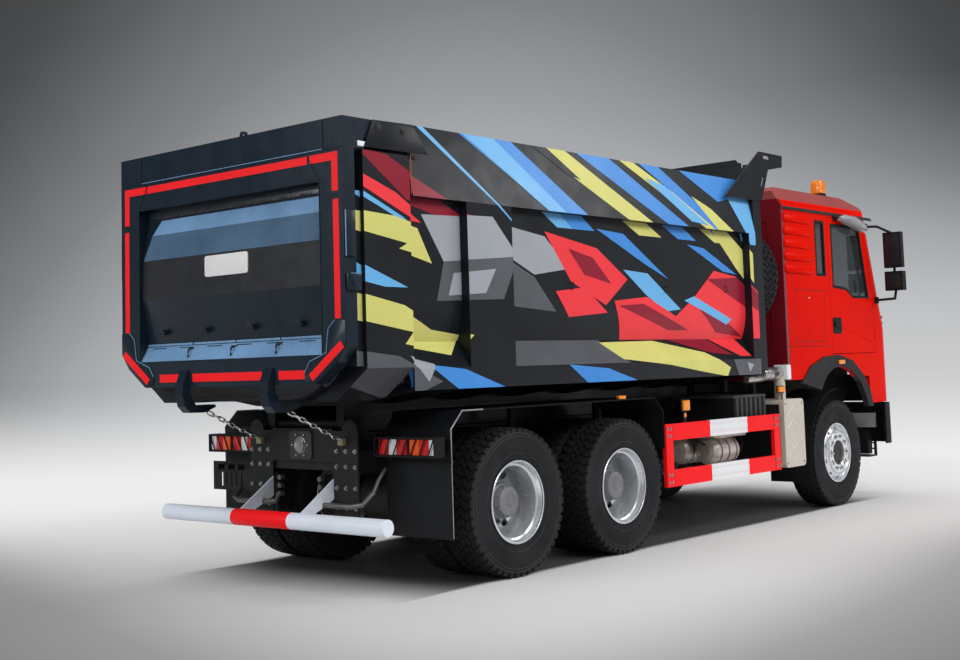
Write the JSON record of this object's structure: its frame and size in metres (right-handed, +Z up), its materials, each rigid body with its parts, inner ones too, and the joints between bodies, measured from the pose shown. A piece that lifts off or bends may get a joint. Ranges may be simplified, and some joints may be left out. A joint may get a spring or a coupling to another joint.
{
  "type": "three-axle dump truck",
  "caption": "Forward-control dump truck with a tipping half-pipe body, top-hinged tailgate, front telescopic hoist, tilting cab, opening doors and steered front wheels.",
  "frame": {"origin": "middle of the outline on the ground", "axes": "+X forward, +Y to the left side, +Z up"},
  "size_m": [8.5, 3, 3.517],
  "materials": {
    "body_paint": "black gloss paint, dusty",
    "cab_paint": "orange-red gloss paint",
    "chassis_paint": "satin black chassis paint",
    "guard_paint": "red and white paint",
    "rim_paint": "silver paint",
    "tyre": "black rubber",
    "steel": "bare ground steel",
    "cast": "dark cast metal",
    "glass": "tinted clear glass",
    "trim": "dark textured plastic",
    "amber": "amber lens",
    "lamp": "red lens",
    "exhaust_metal": "beige heat-resistant paint",
    "chain": "weathered galvanised steel",
    "tank": "plain aluminium"
  },
  "bodies": {
    "chassis": {"chassis_frame": "chassis_paint", "rear_plates": "chassis_paint", "front_axle": "cast", "leaf_springs": "chassis_paint", "drive_axles": "cast", "propshafts": "chassis_paint", "engine_block": "cast", "fuel_tank": "tank", "air_tanks": "chassis_paint", "side_guards": "guard_paint", "exhaust": "exhaust_metal", "front_bumper": "trim", "head_lamps": "glass", "mudguards": "trim", "tail_lamps": "lamp", "underride_bar": "guard_paint", "spare_tyre": "tyre", "spare_carrier": "chassis_paint", "chains": "chain"},
    "dump_body": {"body_tub": "body_paint", "body_side_frames": "body_paint", "headboard": "body_paint", "body_underframe": "body_paint"},
    "tailgate": {"tailgate_frame": "body_paint", "tailgate_panel": "body_paint"},
    "cab": {"cab_shell": "cab_paint", "cab_floor": "trim", "cab_rear": "cab_paint", "cab_roof": "cab_paint", "cab_trim": "cab_paint", "cab_front": "cab_paint", "cab_glass": "glass", "wheel_arches": "trim", "mirrors": "trim", "cab_interior": "trim", "beacon": "amber"},
    "hoist_cover": {"hoist_cover": "chassis_paint"},
    "hoist_stage_1": {"hoist_stage_1": "steel"},
    "hoist_stage_2": {"hoist_stage_2": "steel"},
    "hoist_stage_3": {"hoist_stage_3": "steel"},
    "door_left": {"door_left": "cab_paint", "door_glass_left": "glass"},
    "knuckle_left": {"knuckle_left": "cast"},
    "wheel_front_left": {"tyre_front_left": "tyre", "rim_front_left": "rim_paint"},
    "wheel_middle_left": {"tyres_middle_left": "tyre", "rims_middle_left": "rim_paint"},
    "wheel_rear_left": {"tyres_rear_left": "tyre", "rims_rear_left": "rim_paint"},
    "door_right": {"door_right": "cab_paint", "door_glass_right": "glass"},
    "knuckle_right": {"knuckle_right": "cast"},
    "wheel_front_right": {"tyre_front_right": "tyre", "rim_front_right": "rim_paint"},
    "wheel_middle_right": {"tyres_middle_right": "tyre", "rims_middle_right": "rim_paint"},
    "wheel_rear_right": {"tyres_rear_right": "tyre", "rims_rear_right": "rim_paint"}
  },
  "joints": [
    {"name": "body_tip", "type": "hinge", "parent": "chassis", "child": "dump_body", "pos_m": [-3.4, 0, 1.15], "axis": [0, -1, 0], "range_deg": [0, 48], "deforming": ["chains"]},
    {"name": "tailgate_swing", "type": "hinge", "parent": "dump_body", "child": "tailgate", "pos_m": [-3.874, 0, 3.134], "axis": [0, 1, 0], "range_deg": [0, 70]},
    {"name": "cab_tilt", "type": "hinge", "parent": "chassis", "child": "cab", "pos_m": [4.02, 0, 1.08], "axis": [0, 1, 0], "range_deg": [0, 60]},
    {"name": "door_left_swing", "type": "hinge", "parent": "cab", "child": "door_left", "pos_m": [3.743, 1.2, 1.9], "axis": [0, 0, -1], "range_deg": [0, 70]},
    {"name": "door_right_swing", "type": "hinge", "parent": "cab", "child": "door_right", "pos_m": [3.743, -1.2, 1.9], "axis": [0, 0, 1], "range_deg": [0, 70]},
    {"name": "steer_right", "type": "hinge", "parent": "chassis", "child": "knuckle_right", "pos_m": [2.75, -0.85, 0.5425], "axis": [0, 0, 1], "range_deg": [-35, 35]},
    {"name": "steer_left", "type": "hinge", "parent": "chassis", "child": "knuckle_left", "pos_m": [2.75, 0.85, 0.5425], "axis": [0, 0, 1], "range_deg": [-36, 36]},
    {"name": "spin_front_left", "type": "hinge", "parent": "knuckle_left", "child": "wheel_front_left", "pos_m": [2.75, 1.04, 0.5425], "axis": [0, 1, 0], "continuous": true},
    {"name": "spin_front_right", "type": "hinge", "parent": "knuckle_right", "child": "wheel_front_right", "pos_m": [2.75, -1.04, 0.5425], "axis": [0, 1, 0], "continuous": true},
    {"name": "spin_middle_left", "type": "hinge", "parent": "chassis", "child": "wheel_middle_left", "pos_m": [-1.15, 0.92, 0.5425], "axis": [0, 1, 0], "continuous": true},
    {"name": "spin_rear_left", "type": "hinge", "parent": "chassis", "child": "wheel_rear_left", "pos_m": [-2.5, 0.92, 0.5425], "axis": [0, 1, 0], "continuous": true},
    {"name": "spin_middle_right", "type": "hinge", "parent": "chassis", "child": "wheel_middle_right", "pos_m": [-1.15, -0.92, 0.5425], "axis": [0, 1, 0], "continuous": true},
    {"name": "spin_rear_right", "type": "hinge", "parent": "chassis", "child": "wheel_rear_right", "pos_m": [-2.5, -0.92, 0.5425], "axis": [0, 1, 0], "continuous": true},
    {"name": "hoist_swing", "type": "hinge", "parent": "dump_body", "child": "hoist_cover", "pos_m": [1.4, 0, 1.7], "axis": [0, 1, 0], "range_deg": [0, 22.5]},
    {"name": "hoist_slide_1", "type": "slide", "parent": "hoist_cover", "child": "hoist_stage_1", "axis": [0, 0, -1], "range_m": [0, 1.285]},
    {"name": "hoist_slide_2", "type": "slide", "parent": "hoist_stage_1", "child": "hoist_stage_2", "axis": [0, 0, -1], "range_m": [0, 1.285]},
    {"name": "hoist_slide_3", "type": "slide", "parent": "hoist_stage_2", "child": "hoist_stage_3", "axis": [0, 0, -1], "range_m": [0, 1.285]}
  ],
  "couplings": [
    {"joint": "steer_left", "follows": "steer_right", "ratio": 1},
    {"joint": "hoist_swing", "follows": "body_tip", "ratio": 0.46186},
    {"joint": "hoist_slide_1", "follows": "body_tip", "m_per_rad": 1.5291},
    {"joint": "hoist_slide_2", "follows": "body_tip", "m_per_rad": 1.5291},
    {"joint": "hoist_slide_3", "follows": "body_tip", "m_per_rad": 1.5291}
  ]
}
